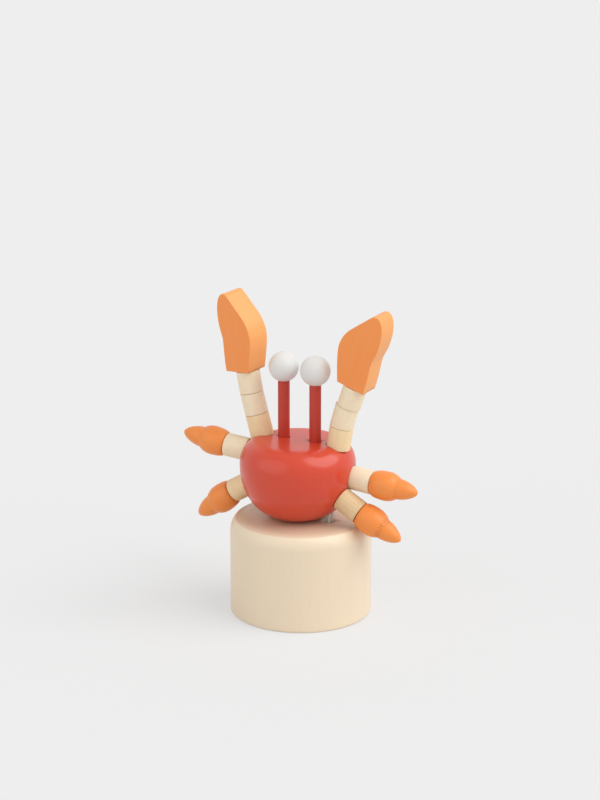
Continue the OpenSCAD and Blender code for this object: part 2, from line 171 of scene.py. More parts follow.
# Leg tips: bulb, waist and blunt point, and the powers of the curves from one to the next
TIP_R = 4.95
TIP_WAIST_R = 3.5
TIP_ROOT_R = 3.7
TIP_L = 16.4
BULB_Z = 0.3 * TIP_L
WAIST_Z = 0.56 * TIP_L
BULB_FALL = 2.2
POINT_FALL, POINT_BLUNT = 1.7, 0.6
# The sanded edge of a tip's root: its width and height
TIP_EDGE = (0.3, 0.02)
TIP_BORE_EASE = 0.2
ANCHOR_DEPTH = 10.0
ANCHOR_BORE_R = 1.2

# The lathe's tear-out in a tip's groove: half the groove's width, how fast it fades towards
# the groove's sides, and a nick's width and length
GROOVE_REACH = 1.1
GROOVE_FADE = 1.5
NICK_SIZE = (0.28, 0.28, 0.7)

# Cords: three on each side, each laid from three plies
CORD_R = 0.5
CORD_LEAD = 0.5
CORD_STEP = 0.3
CORD_SIDES = 18
PLIES = 3
PLY_VALLEY, PLY_SWELL = 0.8, 0.2
LAY_PITCH = 3.2
STRAND_R = 1.1
# The places of a side's three cords round the middle of their bundle
INNER = (-1.0, 0.0)
FRONT = (0.5, -math.sqrt(0.75))
REAR = (0.5, math.sqrt(0.75))
ANCHOR_X = ANCHOR_BORE_R / 2
ANCHOR_BEND_Z = 3.0
# How far from a seam the span of a cord's joint reaches, and the same below and above the base's
# top
SEAM_BEND = 1.5
NECK_BEND = (-1, 4)
# Height in the body at which a cord's section at the neck ends
NECK_STOP_Z = 5

# Overhand knots: the loop's radius, its swing in and out and up and down, the strands' radius,
# how far the middle hangs below the top, and the length of the ends
KNOT_LOOP_R = 1.35
KNOT_SWING = 0.42
KNOT_RISE = 0.6
KNOT_STRAND_R = 0.55
KNOT_DROP = 1.2
KNOT_END_L = 1.35
# Where the cords' ends start and stop, as shares of their distance from the hole's middle
KNOT_END_SPREAD = (0.7, 0.95)

# Each piece is cut from another place in the wood, and each bead is turned further round
GRAIN_STEP = np.array([37.0, 53.0, 71.0])
BEAD_SPIN = 77

# Floor, lamps and camera. A lamp has its level, the direction that it shines from, its height
# above level and its width
PALE = "EEEEEE"
FLOOR_TONE = "DFDFDF"
FLOOR_GLOW = 0.55
FLOOR_HALF = 20000.0
WORLD_LEVEL = 0.6
KEY = (2.08, 11, 48, 60)
FILL = (0.58, -118, 22, 60)
CAMERA_HEADING = 29
CAMERA_PITCH = 15.87
CAMERA_DISTANCE = 733.9
CAMERA_TARGET = Vector((-0.2624, -0.1454, 73.92))
LENS, FILM_WIDTH = 99.0, 36.0


# Frames of the limbs


def shift(x, y, z):
    return Matrix.Translation((x, y, z))


def turn(angle, axis):
    return Matrix.Rotation(math.radians(angle), 4, axis)


def aim(point, tilt, heading):
    """A frame at a point whose +Z is tilted from upright towards a heading."""
    return shift(*point) @ turn(heading, "Z") @ turn(tilt, "Y")


def lean(angle, side, slip=0.0):
    """A lean over the rim that two limb pieces share, on the given side of it, and a slip to it."""
    rim = shift(BEAD_R, 0, 0)
    over = turn(side, "Z") @ rim @ turn(angle, "Y") @ rim.inverted()
    return over @ shift(slip, 0, 0) @ turn(-side, "Z")


def limb_frames(start, joints, beads):
    """One frame for each piece of a limb, its origin at the piece's inner end and +Z along it."""
    frames, here = [], start
    for joint, below in zip(joints, [0.0, *beads]):
        here = here @ shift(0, 0, below + LIMB_GAP) @ lean(*joint)
        frames.append(here)
    return frames


def superellipse(share):
    """How full a swelling curve still is at a share of its length: 1 at its start, 0 at its end."""
    return max(0.0, 1 - share**FULLNESS) ** (1 / FULLNESS)


def body_radius(z):
    """The body's radius at a height above its foot."""
    if z < BELLY_Z:
        return FOOT_FLAT_R + (BODY_R - FOOT_FLAT_R) * superellipse(1 - z / BELLY_Z)
    return TOP_FLAT_R + (BODY_R - TOP_FLAT_R) * superellipse((z - BELLY_Z) / (BODY_H - BELLY_Z))


def body_place(x, y, z):
    """Where a point lies that is measured from the middle of the body's foot."""
    return Vector((x - BODY_SHIFT, y, BASE_H + z))


ARM_SEAT_SHARE = (math.hypot(ARM_X, ARM_Y) - TOP_FLAT_R) / (BODY_R - TOP_FLAT_R)
ARM_FLAT_Z = BELLY_Z + (BODY_H - BELLY_Z) * superellipse(ARM_SEAT_SHARE) - ARM_FLAT_DEPTH


def new_limb(side, start, joints, beads):
    """A limb's side, its seat's frame, its pieces' frames, its joints and its beads' lengths."""
    frames = limb_frames(start, joints, beads)
    return {"side": side, "start": start, "frames": frames, "joints": joints, "beads": beads}


def arm(side, tilt, heading, joints, beads):
    seat = body_place(side * ARM_X, ARM_Y, ARM_FLAT_Z)
    return new_limb(side, aim(seat, tilt, heading), joints, beads)


def leg(side, height, angle, yaw, rise, tip_joint):
    out = body_radius(height) - LEG_FLAT_DEPTH
    at = math.radians(angle)
    seat = body_place(side * out * math.cos(at), out * math.sin(at), height)
    start = aim(seat, 90 - rise, yaw if side == RIGHT else 180 - yaw)
    return new_limb(side, start, [(0, 0), tip_joint], [LEG_BEAD_L]) | {"height": height}


# An arm has its tilt from upright, its heading, each joint's lean, side and slip, and its beads'
# lengths. A leg has its height on the body, its place round it, its yaw, its rise and the lean
# and side of its tip's joint
LIMBS = {
    "left_arm": arm(
        LEFT, 13.8, 195, [(0, 0), (0, 0), (4, 200), (3.9, 128)], [FIRST_BEAD_L, BEAD_L, BEAD_L]
    ),
    "right_arm": arm(
        RIGHT, 8.8, 13, [(0, 0), (6.5, -15), (3.4, -20, 0.56), (3.9, -96, -0.4)], [BEAD_L] * 3
    ),
    "left_upper_leg": leg(LEFT, 20.8, -2, -4, 6, (3, 180)),
    "left_lower_leg": leg(LEFT, 9.8, -2, -3, -31, (7, 20)),
    "right_upper_leg": leg(RIGHT, 15.5, 12, 0, -5, (1, 180)),
    "right_lower_leg": leg(RIGHT, 9.5, -4, 2, -30, (3, 180)),
}
# How far each claw is turned on its arm, and how far it sits out from the arm's middle
CLAW_PLACES = {"left_arm": (-29, 1.2), "right_arm": (-13, 0.05)}
TORN_TIPS = ("right_lower_leg_tip",)
CORD_SPOTS = {
    "left_arm": REAR,
    "left_upper_leg": INNER,
    "left_lower_leg": FRONT,
    "right_arm": INNER,
    "right_upper_leg": REAR,
    "right_lower_leg": FRONT,
}


def limb_pieces(limb_name):
    """Names of a limb's pieces, which are also its bodies, from the body outwards."""
    if limb_name.endswith("arm"):
        side = limb_name.split("_")[0]
        return [f"{limb_name}_bead_{k}" for k in (1, 2, 3)] + [f"{side}_claw"]
    return [f"{limb_name}_bead", f"{limb_name}_tip"]


# Making of meshes


def new_object(name, points, faces):
    """A mesh object from points in millimetres."""
    mesh = bpy.data.meshes.new(name)
    mesh.from_pydata([tuple(p) for p in np.asarray(points) * MM], [], faces)
    made = bpy.data.objects.new(name, mesh)
    bpy.context.scene.collection.objects.link(made)
    clean = bmesh.new()
    clean.from_mesh(mesh)
    bmesh.ops.remove_doubles(clean, verts=clean.verts, dist=1e-7)
    bmesh.ops.recalc_face_normals(clean, faces=clean.faces)
    clean.to_mesh(mesh)
    clean.free()
    return made


def placed(points, place):
    """Points of a piece's own frame, in millimetres, put where the piece stands."""
    spun = np.array(place)
    return np.asarray(points, float) @ spun[:3, :3].T + spun[:3, 3]


def lathe(name, outline, place=None, steps=96, closed=False):
    """Turns an outline of (radius, height) about the piece's own Z axis. A closed outline goes
    round a bore; an open one starts and ends on the axis."""
    rings, points = [], []
    for radius, height in outline:
        if radius < 1e-6:
            rings.append([len(points)])
            points.append((0, 0, height))
            continue
        rings.append(list(range(len(points), len(points) + steps)))
        for k in range(steps):
            a = math.tau * k / steps
            points.append((radius * math.cos(a), radius * math.sin(a), height))
    faces = []
    pairs = list(zip(rings, rings[1:]))
    if closed:
        pairs.append((rings[-1], rings[0]))
    for low, high in pairs:
        for k in range(steps):
            n = (k + 1) % steps
            if len(low) == 1 and len(high) > 1:
                faces.append((low[0], high[k], high[n]))
            elif len(high) == 1 and len(low) > 1:
                faces.append((low[k], low[n], high[0]))
            elif len(low) > 1:
                faces.append((low[k], low[n], high[n], high[k]))
    return new_object(name, placed(points, place or Matrix()), faces)


def arc(centre, radius, start, end, steps=6):
    """Points of a circular or elliptical arc in an outline."""
    rx, rz = radius if isinstance(radius, tuple) else (radius, radius)
    turns = [math.radians(start + (end - start) * k / steps) for k in range(steps + 1)]
    return [(centre[0] + rx * math.cos(a), centre[1] + rz * math.sin(a)) for a in turns]


def circle(radius, steps):
    """Points of a round section across a swept path."""
    turns = [math.tau * k / steps for k in range(steps)]
    return [(radius * math.cos(a), radius * math.sin(a)) for a in turns]


def sweep(name, path, section, up=(0, 1, 0), slices=None):
    """Sweeps a section along a path, both in millimetres. section(i) gives ring i's points across
    the path. Slices, as (first, last) rings, give one object each."""
    path = [Vector(p) for p in path]
    rings, side = [], Vector(up)
    for i, here in enumerate(path):
        way = (path[min(i + 1, len(path) - 1)] - path[max(i - 1, 0)]).normalized()
        side = (side - side.dot(way) * way).normalized()
        over = way.cross(side)
        rings.append([here + u * side + v * over for u, v in section(i)])
    count = len(rings[0])
    made = []
    for number, (first, last) in enumerate(slices or [(0, len(path) - 1)]):
        points = [p for ring in rings[first : last + 1] for p in ring]
        faces = [tuple(range(count))[::-1]]
        for i in range(last - first):
            low, high = i * count, (i + 1) * count
            for k in range(count):
                n = (k + 1) % count
                faces.append((low + k, low + n, high + n, high + k))
        faces.append(tuple((last - first) * count + k for k in range(count)))
        label = name if not slices else f"{name}_{number + 1}"
        made.append(new_object(label, points, faces))
    return made


def cut(piece, tools):
    """Takes each tool's volume out of a piece, and removes the tools."""
    for tool in tools:
        drill = piece.modifiers.new("cut", "BOOLEAN")
        drill.operation, drill.object, drill.solver = "DIFFERENCE", tool, "EXACT"
    bpy.context.view_layer.update()
    ready = piece.evaluated_get(bpy.context.evaluated_depsgraph_get())
    mesh = bpy.data.meshes.new_from_object(ready)
    piece.modifiers.clear()
    old, piece.data = piece.data, mesh
    bpy.data.meshes.remove(old)
    mesh.name = piece.name
    for tool in tools:
        bpy.data.objects.remove(tool)


def rod(radius, start, end, steps=48):
    """A plain round cutting tool from one point to another."""
    start, end = Vector(start), Vector(end)
    way = end - start
    place = shift(*start) @ UP.rotation_difference(way).to_matrix().to_4x4()
    outline = [(0, 0), (radius, 0), (radius, way.length), (0, way.length)]
    return lathe("tool", outline, place, steps)


def dress(piece, body, node, material, place=None, seed=0, smooth=35):
    """Gives a piece its finish and the grain's own coordinates, hides the CAD node that it stands
    for and hangs the piece on the body that it rides on. A cord's sections ride on none."""
    local = np.zeros(len(piece.data.vertices) * 3, np.float32)
    piece.data.vertices.foreach_get("co", local)
    inverse = np.array((place or Matrix()).inverted())
    grain = (local.reshape(-1, 3) / MM) @ inverse[:3, :3].T + inverse[:3, 3]
    grain += GRAIN_STEP * seed
    store = piece.data.attributes.new("grain", "FLOAT_VECTOR", "POINT")
    store.data.foreach_set("vector", grain.astype(np.float32).ravel())
    piece.data.materials.clear()
    piece.data.materials.append(material)
    piece.data.shade_smooth()
    with bpy.context.temp_override(object=piece, active_object=piece, selected_objects=[piece]):
        bpy.ops.object.shade_smooth_by_angle(angle=math.radians(smooth))
    if body:
        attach(piece, body)
    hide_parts(node)


def mark(piece, name, share):
    """Stores on each point of a piece how much of a mark its material shows there, from 0 to 1."""
    store = piece.data.attributes.new(name, "FLOAT", "POINT")
    for vertex in piece.data.vertices:
        store.data[vertex.index].value = min(1.0, max(0.0, share(vertex.co / MM)))


# Materials. Each pattern's size is in millimetres across and along the grain. Wood's fibres are
# about 0.05 mm wide, too fine to show, so they are drawn 0.3 mm wide. Ray flecks and the broad
# clouds of tone are drawn at about their real size
FIBRE = (0.3, 0.3, 5.0)
RAY_FLECK = (0.45, 0.45, 2.4)
CLOUD = (9.0, 9.0, 22.0)
# Growth rings hardly change along the grain, and lie round a pith beside the piece
RING_SPACE = (1.0, 1.0, 9.0)
PITH = (31.0, 12.0, 0.0)
TOOL_SPACE = (1.0, 1.0, 1.0)
# The mottle of oil on the wire, and the fuzz on a cord, which is drawn coarser than real, to show
OIL_MOTTLE = (0.2, 0.2, 0.2)
FUZZ = (0.12, 0.12, 0.12)


def linear(code):
    """Linear colour of an sRGB hex value."""
    parts = [int(code[k : k + 2], 16) / 255 for k in (0, 2, 4)]
    levels = [c / 12.92 if c <= 0.04045 else ((c + 0.055) / 1.055) ** 2.4 for c in parts]
    return (*levels, 1.0)


def wave_scale(spacing):
    """The Wave texture's scale at which it repeats once in each spacing."""
    return math.tau / 20 / spacing


def add(tree, kind, settings=None, inputs=None):
    """Adds a node with its settings, and its inputs as values or as the sockets that feed them."""
    made = tree.nodes.new(kind)
    for key, value in (settings or {}).items():
        setattr(made, key, value)
    for key, value in (inputs or {}).items():
        if isinstance(value, bpy.types.NodeSocket):
            tree.links.new(value, made.inputs[key])
        else:
            made.inputs[key].default_value = value
    return made


def new_material(name):
    made = bpy.data.materials.new(name)
    made.use_nodes = True
    made.node_tree.nodes.clear()
    return made, made.node_tree


def grain_space(tree, spacing):
    """The piece's own millimetre coordinates, divided by a pattern's size along each axis."""
    source = add(tree, "ShaderNodeAttribute", {"attribute_name": "grain"})
    return add(
        tree,
        "ShaderNodeVectorMath",
        {"operation": "DIVIDE"},
        {0: source.outputs["Vector"], 1: spacing},
    ).outputs[0]


def painted_wood(
    name, colour, deep, pale, roughness,
    coat=0.0, coat_roughness=0.3, specular=0.5,
    ring=1.6, ring_share=0.5, fleck=0.35, tool_marks=0.0, tool_step=0.5, relief=0.012,
    end=None, edge=None, torn=None,
):
    """Wood of which the grain shows through its finish: streaks between two colours along fibres
    and growth rings, deeper flecks, and tool marks square to the grain. The rings and the tool
    marks have their spacing, and the relief its depth, in millimetres. end, edge and torn are
    colours for the points that are marked as end grain with painted shade, as sanded edge with a
    painted sheen, or as torn groove."""
    made, tree = new_material(name)
    centred = add(
        tree,
        "ShaderNodeVectorMath",
        {"operation": "ADD"},
        {0: grain_space(tree, RING_SPACE), 1: PITH},
    ).outputs[0]
    rings = add(
        tree,
        "ShaderNodeTexWave",
        {"wave_type": "RINGS", "rings_direction": "Z", "wave_profile": "SAW"},
        {
            "Vector": centred, "Scale": wave_scale(ring),
            "Distortion": 2.2, "Detail": 2.0, "Detail Scale": 0.5,
        },
    ).outputs["Fac"]
    fibres, flecks, cloud = (
        add(
            tree,
            "ShaderNodeTexNoise",
            {},
            {"Vector": grain_space(tree, size), "Scale": 1.0, "Detail": detail, "Roughness": rough},
        ).outputs["Fac"]
        for size, detail, rough in ((FIBRE, 3.0, 0.6), (RAY_FLECK, 1.0, 0.4), (CLOUD, 2.0, 0.5))
    )
    fleck_mask = add(
        tree,
        "ShaderNodeMapRange",
        {"interpolation_type": "SMOOTHSTEP"},
        {"Value": flecks, "From Min": 0.6, "From Max": 0.72, "To Min": 0.0, "To Max": fleck},
    ).outputs["Result"]
    ring_tone = add(
        tree,
        "ShaderNodeMath",
        {"operation": "MULTIPLY"},
        {0: rings, 1: ring_share},
    ).outputs[0]
    tone = add(
        tree,
        "ShaderNodeMath",
        {"operation": "MULTIPLY_ADD", "use_clamp": True},
        {0: fibres, 1: 0.5, 2: ring_tone},
    ).outputs[0]
    cloud_share = add(
        tree,
        "ShaderNodeMapRange",
        {},
        {"Value": cloud, "From Min": 0.35, "From Max": 0.7, "To Min": 0.0, "To Max": 0.3},
    ).outputs["Result"]
    layers = [(tone, colour, "MIX"), (fleck_mask, deep, "MIX"), (cloud_share, colour, "MIX")]
    for tint, spot, blend in ((end, "end_grain_and_shade", "MULTIPLY"), (edge, "sanded_edge_and_sheen", "MIX")):
        if tint:
            there = add(tree, "ShaderNodeAttribute", {"attribute_name": spot}).outputs["Fac"]
            layers.append((there, tint, blend))
    if torn:
        groove = add(tree, "ShaderNodeAttribute", {"attribute_name": "torn_groove"}).outputs["Fac"]
        nicks = add(
            tree,
            "ShaderNodeTexNoise",
            {},
            {"Vector": grain_space(tree, NICK_SIZE), "Scale": 1.0, "Detail": 0.0},
        ).outputs["Fac"]
        nick_mask = add(
            tree,
            "ShaderNodeMapRange",
            {"interpolation_type": "SMOOTHSTEP"},
            {"Value": nicks, "From Min": 0.54, "From Max": 0.6, "To Min": 0.0, "To Max": 0.65},
        ).outputs["Result"]
        torn_share = add(
            tree,
            "ShaderNodeMath",
            {"operation": "MULTIPLY"},
            {0: nick_mask, 1: groove},
        ).outputs[0]
        layers.append((torn_share, torn, "MIX"))
    final = linear(pale)
    for share, tint, blend in layers:
        final = add(
            tree,
            "ShaderNodeMix",
            {"data_type": "RGBA", "blend_type": blend},
            {"Factor": share, "A": final, "B": linear(tint)},
        ).outputs["Result"]
    marks = add(
        tree,
        "ShaderNodeTexWave",
        {"wave_type": "BANDS", "bands_direction": "Z", "wave_profile": "SIN"},
        {
            "Vector": grain_space(tree, TOOL_SPACE), "Scale": wave_scale(tool_step),
            "Distortion": 0.6, "Detail": 1.0, "Detail Scale": 0.3,
        },
    ).outputs["Fac"]
    height = add(
        tree,
        "ShaderNodeMath",
        {"operation": "MULTIPLY_ADD"},
        {0: marks, 1: tool_marks, 2: fibres},
    ).outputs[0]
    bump = add(
        tree,
        "ShaderNodeBump",
        {},
        {"Height": height, "Strength": 1.0, "Distance": relief * MM},
    ).outputs["Normal"]
    sheen = add(
        tree,
        "ShaderNodeMapRange",
        {},
        {
            "Value": fibres, "From Min": 0.3, "From Max": 0.7,
            "To Min": roughness - 0.05, "To Max": roughness + 0.05,
        },
    ).outputs["Result"]
    shader = add(
        tree,
        "ShaderNodeBsdfPrincipled",
        {},
        {
            "Base Color": final, "Roughness": sheen, "Normal": bump,
            "IOR": 1.5, "Specular IOR Level": specular,
            "Coat Weight": coat, "Coat Roughness": coat_roughness,
        },
    )
    add(tree, "ShaderNodeOutputMaterial", {}, {"Surface": shader.outputs[0]})
    return made


# Steamed beech, turned, finely sanded and waxed to a satin sheen: pale and dense, with short
# ray flecks and faint growth rings 2 mm apart. The wax gives the rim its soft pale band. The flat
# top is tinted a little darker and pinker: partly its end grain, which drinks the wax in, and
# partly painted shade and painted red light bounced from the body above it
turned_beech = painted_wood(
    "turned_beech", "E5D1B4", "DAC29E", "E9D7BC", 0.5,
    coat=0.55, coat_roughness=0.36, specular=0.35,
    ring=2.1, ring_share=0.26, fleck=0.15, tool_marks=0.5, tool_step=0.8, relief=0.003,
    end="F7F2F0",
)
# Maple dowel sawn into beads and left raw, its ends sanded: matt, paler and plainer than the base
MAPLE = {"roughness": 0.52, "specular": 0.3, "tool_marks": 0.3, "tool_step": 0.4, "relief": 0.004}
maple_dowel = painted_wood(
    "maple_dowel", "EBD6B3", "DFC69E", "F2E3C8", ring=1.4, ring_share=0.3, fleck=0.25, **MAPLE
)
# The same dowel from nearer the heart of the tree: warmer and a little darker
maple_heart = painted_wood(
    "maple_heart", "EACD9E", "D8B785", "F1DAB2", ring=1.2, ring_share=0.4, fleck=0.35, **MAPLE
)
# A darker, browner piece of the same dowel, where its grain stands out most. Its darkness is partly
# its own and partly painted shade, for the bead that lies in the shade of the body and the upper
# leg
maple_brown_shaded = painted_wood(
    "maple_brown_shaded", "DBBC8E", "C6A272", "E3C8A1", ring=1.1, ring_share=0.5, fleck=0.4, **MAPLE
)
# Red lacquer sprayed on turned wood and left satin: one even colour with broad soft highlights,
# the grain only a faint relief
red_lacquer = painted_wood(
    "red_lacquer", "CD3D22", "BC351E", "D14326", 0.44,
    coat=0.62, coat_roughness=0.17, specular=0.25,
    ring=1.8, ring_share=0.4, fleck=0.1, tool_marks=0.5, tool_step=0.9, relief=0.003,
)
# The same red on the thin dowels, dipped and so a little darker and deeper, with less gloss
red_dip = painted_wood(
    "red_dip", "B93526", "A52D20", "C03C2A", 0.45,
    coat=0.15, specular=0.35, ring=1.2, ring_share=0.4, fleck=0.12, relief=0.004,
)
# Orange water stain on sawn boards under satin varnish: the grain stays faintly visible. The sawn
# and sanded edges show paler and whiter, partly because they took less stain and partly as a
# painted sheen of the light that falls on them
orange_stain_sawn = painted_wood(
    "orange_stain_sawn", "F3914A", "EA8541", "F59852", 0.6,
    coat=0.5, coat_roughness=0.36, specular=0.1,
    ring=2.4, ring_share=0.28, fleck=0.1, tool_marks=0.35, tool_step=1.1, relief=0.006,
    edge="F1A561",
)
# The same stain and varnish on turned tips, with fine rings from the lathe, and darker nicks
# where the tool tore the wood in a groove
orange_stain_turned = painted_wood(
    "orange_stain_turned", "EC883B", "DE792F", "F09145", 0.5,
    coat=0.3, coat_roughness=0.26, specular=0.3,
    ring=1.5, ring_share=0.35, fleck=0.15, tool_marks=0.7, tool_step=0.5, relief=0.004,
    torn="A8531F",
)
# White enamel brushed thickly on wooden balls: smooth and almost matt, with hardly any grain
white_enamel = painted_wood(
    "white_enamel", "DAD9D6", "D3D1CE", "DEDDDA", 0.52,
    coat=0.06, specular=0.4, ring=2.0, ring_share=0.3, fleck=0.05, relief=0.002,
)
# Birch pegs, raw from the cutter: matt, with open grain
raw_peg = painted_wood("raw_peg", "D2B48C", "B08F66", "DEC4A0", 0.65, ring=0.8, relief=0.008)


def drawn_steel():
    """Spring wire, drawn through a die and oiled: grey, its half gloss faintly mottled."""
    made, tree = new_material("drawn_steel")
    mottle = add(
        tree,
        "ShaderNodeTexNoise",
        {},
        {"Vector": grain_space(tree, OIL_MOTTLE), "Scale": 1.0, "Detail": 3.0},
    ).outputs["Fac"]
    rough = add(
        tree,
        "ShaderNodeMapRange",
        {},
        {"Value": mottle, "To Min": 0.22, "To Max": 0.42},
    ).outputs["Result"]
    shader = add(
        tree,
        "ShaderNodeBsdfPrincipled",
        {},
        {"Base Color": linear("B4B6B9"), "Metallic": 1.0, "Roughness": rough},
    )
    add(tree, "ShaderNodeOutputMaterial", {}, {"Surface": shader.outputs[0]})
    return made


def waxed_cotton():
    """Three-ply cotton cord, waxed: off-white and dull, its fuzz a little greyer in places."""
    made, tree = new_material("waxed_cotton")
    fuzz = add(
        tree,
        "ShaderNodeTexNoise",
        {},
        {"Vector": grain_space(tree, FUZZ), "Scale": 1.0, "Detail": 2.0},
    ).outputs["Fac"]
    tone = add(
        tree,
        "ShaderNodeMix",
        {"data_type": "RGBA"},
        {"Factor": fuzz, "A": linear("F4F2EE"), "B": linear("DCD8D0")},
    ).outputs["Result"]
    bump = add(
        tree,
        "ShaderNodeBump",
        {},
        {"Height": fuzz, "Strength": 1.0, "Distance": 0.02 * MM},
    ).outputs["Normal"]
    shader = add(
        tree,
        "ShaderNodeBsdfPrincipled",
        {},
        {"Base Color": tone, "Roughness": 0.8, "Specular IOR Level": 0.25, "Normal": bump},
    )
    add(tree, "ShaderNodeOutputMaterial", {}, {"Surface": shader.outputs[0]})
    return made


spring_steel = drawn_steel()
cotton_cord = waxed_cotton()
# Beads that aren't of the plain maple
BEAD_WOODS = {
    "left_arm_bead_1": maple_heart,
    "right_arm_bead_1": maple_heart,
    "left_lower_leg_bead": maple_heart,
    # The right lower leg's bead lies under the upper leg: its wood carries painted shade
    "right_lower_leg_bead": maple_brown_shaded,
}


# Base, button and spring


def make_base():
    """Turned drum, open below, its rim rounded and its cord holes drilled through the top."""
    rim_in = RIM_ROUND * math.cos(math.radians(RIM_TURN))
    rim_down = RIM_ROUND * math.sin(math.radians(RIM_TURN))
    flat = BASE_R - RIM_ROUND + rim_in
    cove = (HOLLOW_R - HOLLOW_COVE, CEILING_Z - HOLLOW_COVE)
    outline = (
        [(HOLLOW_R + FOOT_R, 0)]
        + arc((BASE_R - FOOT_R, FOOT_R), FOOT_R, -90, 0, steps=8)
        + [(BASE_R, BASE_H * k / 12) for k in range(1, 11)]
        + arc((BASE_R - RIM_ROUND, BASE_H - rim_down), RIM_ROUND, 0, RIM_TURN, steps=18)
        + [(flat * k / 6, BASE_H) for k in (5, 4, 3, 2, 1)]
        + [(0, BASE_H), (0, SPRING_SEAT_Z)]
        + [(SPRING_SEAT_R, SPRING_SEAT_Z), (SPRING_SEAT_R, CEILING_Z)]
        + arc(cove, HOLLOW_COVE, 90, 0, steps=4)
        + [(HOLLOW_R, FOOT_R), (HOLLOW_R + FOOT_R, 0)]
    )
    made = lathe("turned_base", outline, steps=160)
    tools = []
    for side in (LEFT, RIGHT):
        x, y = side * CORD_HOLE_X, CORD_HOLE_Y
        tools.append(rod(CORD_HOLE_R, (x, y, CEILING_Z - THROUGH), (x, y, BASE_H + THROUGH)))
    cut(made, tools)
    dress(made, "base", "base", turned_beech, smooth=30)
    # The flat top is tinted darker and pinker: its end grain, with painted shade and painted red
    # bounce light from the body
    mark(made, "end_grain_and_shade", lambda p: 1 if p.z > BASE_H - 0.01 else 0)


def make_button():
    """Turned disc with a spigot for the spring, and a stepped hole for each side's cords."""
    outline = (
        [(0, BUTTON_Z)]
        + [(r, BUTTON_Z) for r in BUTTON_RINGS]
        + arc((BUTTON_R - FOOT_R, BUTTON_Z + FOOT_R), FOOT_R, -90, 0)
        + arc((BUTTON_R - BUTTON_EDGE, BUTTON_TOP_Z - BUTTON_EDGE), BUTTON_EDGE, 0, 90, steps=4)
        + [(r, BUTTON_TOP_Z) for r in BUTTON_RINGS[::-1]]
        + [(SPIGOT_R, BUTTON_TOP_Z)]
        + arc((SPIGOT_R - FOOT_R, SPIGOT_TOP_Z - FOOT_R), FOOT_R, 0, 90)
        + [(0, SPIGOT_TOP_Z)]
    )
    made = lathe("thumb_button", outline, steps=128)
    tools = []
    for side in (LEFT, RIGHT):
        x, y = side * CORD_HOLE_X, CORD_HOLE_Y
        inside, top = BUTTON_Z + 0.2, BUTTON_TOP_Z + THROUGH
        below, roof = BUTTON_Z - THROUGH, BUTTON_Z + POCKET_DEPTH
        # The hole is cut from inside the pocket. Its 41 sides share no corner's angle with the
        # pocket's 48, or the cut would leave slivers
        tools.append(rod(BUTTON_HOLE_R, (x, y, inside), (x, y, top), steps=41))
        tools.append(rod(POCKET_R, (x, y, below), (x, y, roof)))
    cut(made, tools)
    dress(made, "button", "push_button", turned_beech, seed=2, smooth=40)


def make_spring():
    """Compression spring with a closed turn at each end."""
    low, high = BUTTON_TOP_Z + WIRE_R + SPRING_GAP, SPRING_SEAT_Z - WIRE_R - SPRING_GAP
    open_pitch = (high - low - 2 * CLOSED_PITCH) / (SPRING_TURNS - 2)
    steps = 40
    path = []
    for i in range(SPRING_TURNS * steps + 1):
        t = i / steps
        z = low + CLOSED_PITCH * (min(t, 1) + max(t - SPRING_TURNS + 1, 0))
        z += open_pitch * (max(min(t, SPRING_TURNS - 1), 1) - 1)
        path.append((SPRING_R * math.cos(math.tau * t), SPRING_R * math.sin(math.tau * t), z))
    wire = circle(WIRE_R, 12)
    made = sweep("coil_spring", path, lambda i: wire, up=UP)[0]
    dress(made, "base", "spring", spring_steel)
    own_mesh(made)


# Crab body and eyes


def well_point(side, z):
    """The middle of a side's cord bore through the body, at a height above the body's foot."""
    low = Vector((side * CORD_HOLE_X, CORD_HOLE_Y, BASE_H))
    return low.lerp(body_place(side * ARM_X, ARM_Y, ARM_FLAT_Z), z / ARM_FLAT_Z)


def leg_corner(limb):
    """Where a leg's bore, drilled in from its flat, meets the side's bore."""
    start, side = limb["start"], limb["side"]
    seat = start.translation
    well = well_point(side, limb["height"])
    drop = start[2][2] * abs((seat.x - well.x) / start[0][2])
    return well_point(side, seat.z - BASE_H - drop)


def make_body():
    """Turned bowl, flat on top, with a spot-faced seat for each limb and the cords' bores."""
    steps = 40
    quarter = [math.pi / 2 * k / steps for k in range(steps + 1)]
    heights = [BELLY_Z * (1 - math.cos(a)) for a in quarter[:-1]]
    heights += [BELLY_Z + (BODY_H - BELLY_Z) * math.sin(a) for a in quarter]
    outline = [(0, 0)] + [(body_radius(z), z) for z in heights]
    outline += [(TOP_FLAT_R * k / 5, BODY_H) for k in (4, 3, 2, 1)] + [(0, BODY_H)]
    place = shift(*body_place(0, 0, 0))
    made = lathe("crab_bowl", outline, place, steps=192)
    seat_r = BEAD_R + SEAT_MARGIN
    seat_cutter = [(0, 0), (seat_r, 0), (seat_r, SEAT_CUTTER_L), (0, SEAT_CUTTER_L)]
    tools = [lathe("tool", seat_cutter, limb["start"]) for limb in LIMBS.values()]
    for side in (LEFT, RIGHT):
        low, high = well_point(side, -THROUGH), well_point(side, ARM_FLAT_Z + THROUGH)
        tools.append(rod(WELL_R, low, high))
        foot = body_place(side * STALK_GAP / 2, STALK_Y, BODY_H - STALK_GLUE)
        tools.append(rod(STALK_R, foot, foot + UP * (STALK_GLUE + THROUGH)))
    for name, limb in LIMBS.items():
        if name.endswith("leg"):
            corner, seat = leg_corner(limb), limb["start"].translation
            way = (seat - corner).normalized()
            tools.append(rod(BEAD_BORE_R, corner, seat + way, steps=32))
    cut(made, tools)
    dress(made, "crab_body", "crab_body", red_lacquer, place, smooth=28)


